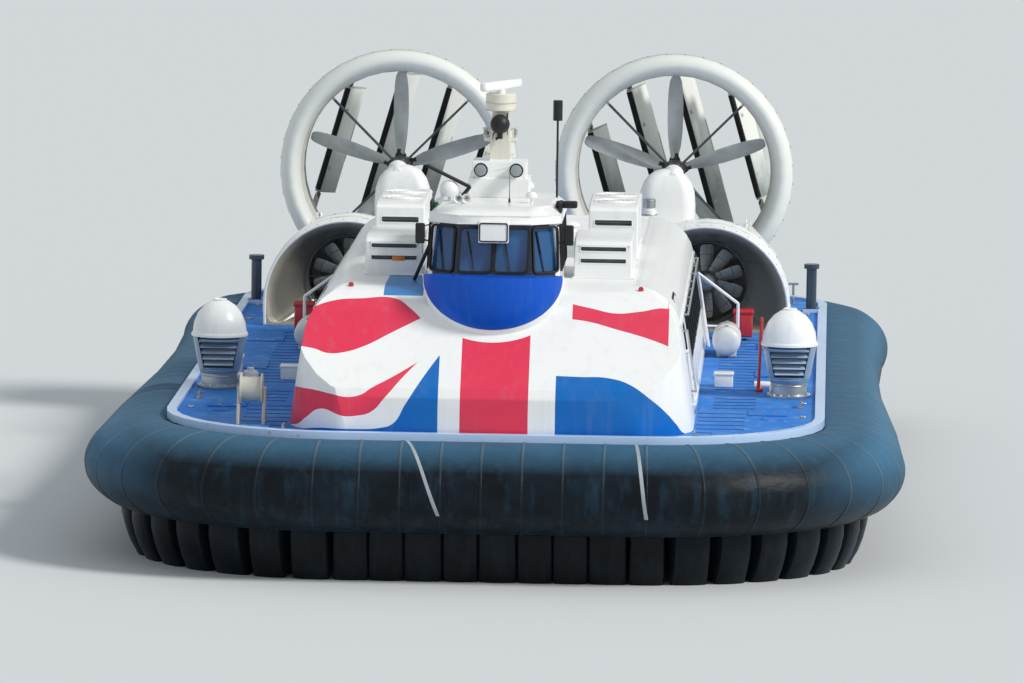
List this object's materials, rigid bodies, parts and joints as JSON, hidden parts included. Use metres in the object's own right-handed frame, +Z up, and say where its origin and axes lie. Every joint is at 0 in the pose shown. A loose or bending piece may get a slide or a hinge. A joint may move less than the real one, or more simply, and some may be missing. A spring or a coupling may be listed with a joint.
{
  "type": "passenger hovercraft",
  "caption": "Passenger hovercraft with a bag-and-finger skirt, low cabin and raised wheelhouse, ducted stern propellers with rudders, lift-fan intakes and swivelling bow thrusters.",
  "frame": {"origin": "centre of the bounding box's base, on the floor under the skirt finger tips", "axes": "-Y towards the bow, +Y towards the stern, +X to port, +Z up"},
  "size_m": [12.962, 23.7395, 7.465],
  "materials": {
    "white_paint": "gloss marine paint",
    "cream_paint": "satin off-white marine paint",
    "deck_paint": "matte non-slip deck paint",
    "nose_paint": "gloss marine paint",
    "blue_paint": "gloss marine paint",
    "bag_rubber": "satin coated fabric",
    "finger_rubber": "matte coated fabric",
    "bare_aluminium": "satin",
    "window_glass": "tinted",
    "seat_fabric": "woven",
    "black_plastic": "moulded",
    "blade_composite": "smooth",
    "engine_metal": "painted"
  },
  "bodies": {
    "craft": {"bow_thruster_base_port": "bare_aluminium", "bow_thruster_base_starboard": "bare_aluminium", "cabin_bulkhead": "white_paint", "cabin_glazing_port": "window_glass", "cabin_glazing_starboard": "window_glass", "cabin_nose": "nose_paint", "cabin_roof": "white_paint", "cabin_side_port": "white_paint", "cabin_side_starboard": "white_paint", "deck_plate": "deck_paint", "drive_pylon_port": "white_paint", "drive_pylon_starboard": "white_paint", "duct_port": "cream_paint", "duct_starboard": "cream_paint", "engine_casing_port": "white_paint", "engine_casing_starboard": "white_paint", "engine_port": "engine_metal", "engine_starboard": "engine_metal", "gunwale": "white_paint", "helm_station": "black_plastic", "hull": "bare_aluminium", "liferaft_port": "white_paint", "liferaft_starboard": "white_paint", "lift_fan_housing_port": "white_paint", "lift_fan_housing_starboard": "white_paint", "mast": "cream_paint", "mooring_reel": "white_paint", "roof_cooler_port": "white_paint", "roof_cooler_starboard": "white_paint", "roof_vent_port": "white_paint", "roof_vent_starboard": "white_paint", "seats_port": "seat_fabric", "seats_starboard": "seat_fabric", "side_rail_port": "white_paint", "side_rail_starboard": "white_paint", "skirt_bag": "bag_rubber", "skirt_fingers": "finger_rubber", "wheelhouse_chin": "blue_paint", "wheelhouse_glass": "window_glass", "wheelhouse_roof": "white_paint", "wheelhouse_shell": "white_paint"},
    "bow_thruster_nozzle_port": {"bow_thruster_nozzle_port": "white_paint"},
    "bow_thruster_nozzle_starboard": {"bow_thruster_nozzle_starboard": "white_paint"},
    "door_port": {"door_glass_port": "window_glass", "door_port": "white_paint"},
    "door_starboard": {"door_glass_starboard": "window_glass", "door_starboard": "white_paint"},
    "lift_fan_port": {"lift_fan_port": "blade_composite"},
    "lift_fan_starboard": {"lift_fan_starboard": "blade_composite"},
    "propeller_port": {"propeller_port": "blade_composite"},
    "propeller_starboard": {"propeller_starboard": "blade_composite"},
    "radar_scanner": {"radar_scanner": "white_paint"},
    "rudder_port_1": {"rudder_port_1": "cream_paint"},
    "rudder_port_2": {"rudder_port_2": "cream_paint"},
    "rudder_port_3": {"rudder_port_3": "cream_paint"},
    "rudder_port_4": {"rudder_port_4": "cream_paint"},
    "rudder_starboard_1": {"rudder_starboard_1": "cream_paint"},
    "rudder_starboard_2": {"rudder_starboard_2": "cream_paint"},
    "rudder_starboard_3": {"rudder_starboard_3": "cream_paint"},
    "rudder_starboard_4": {"rudder_starboard_4": "cream_paint"}
  },
  "joints": [
    {"name": "propeller_spin_port", "type": "hinge", "parent": "craft", "child": "propeller_port", "pos_m": [2.45, 9.2, 4.58], "axis": [0, 1, 0], "continuous": true},
    {"name": "lift_fan_spin_port", "type": "hinge", "parent": "craft", "child": "lift_fan_port", "pos_m": [3.11, 5.26, 3.02], "axis": [0, 1, 0], "continuous": true},
    {"name": "bow_thruster_slew_port", "type": "hinge", "parent": "craft", "child": "bow_thruster_nozzle_port", "pos_m": [4.62, -4.65, 2.5], "axis": [0, 0, 1], "continuous": true},
    {"name": "door_swing_port", "type": "hinge", "parent": "craft", "child": "door_port", "pos_m": [3.09, -7.53, 2.8], "axis": [0.158, 0, -0.9874], "range_deg": [0, 95]},
    {"name": "rudder_turn_port_1", "type": "hinge", "parent": "craft", "child": "rudder_port_1", "pos_m": [1.19075, 10.38, 4.21891], "axis": [-0.2756, 0, 0.9613], "range_deg": [-5, 55]},
    {"name": "rudder_turn_port_2", "type": "hinge", "parent": "craft", "child": "rudder_port_2", "pos_m": [2.02705, 10.38, 4.45872], "axis": [-0.2756, 0, 0.9613], "range_deg": [-5, 55]},
    {"name": "rudder_turn_port_3", "type": "hinge", "parent": "craft", "child": "rudder_port_3", "pos_m": [2.87296, 10.38, 4.70128], "axis": [-0.2756, 0, 0.9613], "range_deg": [-5, 55]},
    {"name": "rudder_turn_port_4", "type": "hinge", "parent": "craft", "child": "rudder_port_4", "pos_m": [3.70925, 10.38, 4.94109], "axis": [-0.2756, 0, 0.9613], "range_deg": [-5, 55]},
    {"name": "propeller_spin_starboard", "type": "hinge", "parent": "craft", "child": "propeller_starboard", "pos_m": [-2.45, 9.2, 4.58], "axis": [0, 1, 0], "continuous": true},
    {"name": "lift_fan_spin_starboard", "type": "hinge", "parent": "craft", "child": "lift_fan_starboard", "pos_m": [-3.11, 5.26, 3.02], "axis": [0, 1, 0], "continuous": true},
    {"name": "bow_thruster_slew_starboard", "type": "hinge", "parent": "craft", "child": "bow_thruster_nozzle_starboard", "pos_m": [-4.62, -4.65, 2.5], "axis": [0, 0, 1], "continuous": true},
    {"name": "door_swing_starboard", "type": "hinge", "parent": "craft", "child": "door_starboard", "pos_m": [-3.09, -7.53, 2.8], "axis": [0.158, 0, 0.9874], "range_deg": [0, 95]},
    {"name": "rudder_turn_starboard_1", "type": "hinge", "parent": "craft", "child": "rudder_starboard_1", "pos_m": [-3.70925, 10.38, 4.94109], "axis": [0.2756, 0, 0.9613], "range_deg": [-5, 55]},
    {"name": "rudder_turn_starboard_2", "type": "hinge", "parent": "craft", "child": "rudder_starboard_2", "pos_m": [-2.87296, 10.38, 4.70128], "axis": [0.2756, 0, 0.9613], "range_deg": [-5, 55]},
    {"name": "rudder_turn_starboard_3", "type": "hinge", "parent": "craft", "child": "rudder_starboard_3", "pos_m": [-2.02705, 10.38, 4.45872], "axis": [0.2756, 0, 0.9613], "range_deg": [-5, 55]},
    {"name": "rudder_turn_starboard_4", "type": "hinge", "parent": "craft", "child": "rudder_starboard_4", "pos_m": [-1.19075, 10.38, 4.21891], "axis": [0.2756, 0, 0.9613], "range_deg": [-5, 55]},
    {"name": "radar_spin", "type": "hinge", "parent": "craft", "child": "radar_scanner", "pos_m": [0, -7.15, 7.3], "axis": [0, 0, 1], "continuous": true}
  ],
  "couplings": [
    {"joint": "rudder_turn_port_2", "follows": "rudder_turn_port_1", "ratio": 1},
    {"joint": "rudder_turn_port_3", "follows": "rudder_turn_port_1", "ratio": 1},
    {"joint": "rudder_turn_port_4", "follows": "rudder_turn_port_1", "ratio": 1},
    {"joint": "rudder_turn_starboard_1", "follows": "rudder_turn_port_1", "ratio": 1},
    {"joint": "rudder_turn_starboard_2", "follows": "rudder_turn_port_1", "ratio": 1},
    {"joint": "rudder_turn_starboard_3", "follows": "rudder_turn_port_1", "ratio": 1},
    {"joint": "rudder_turn_starboard_4", "follows": "rudder_turn_port_1", "ratio": 1}
  ]
}
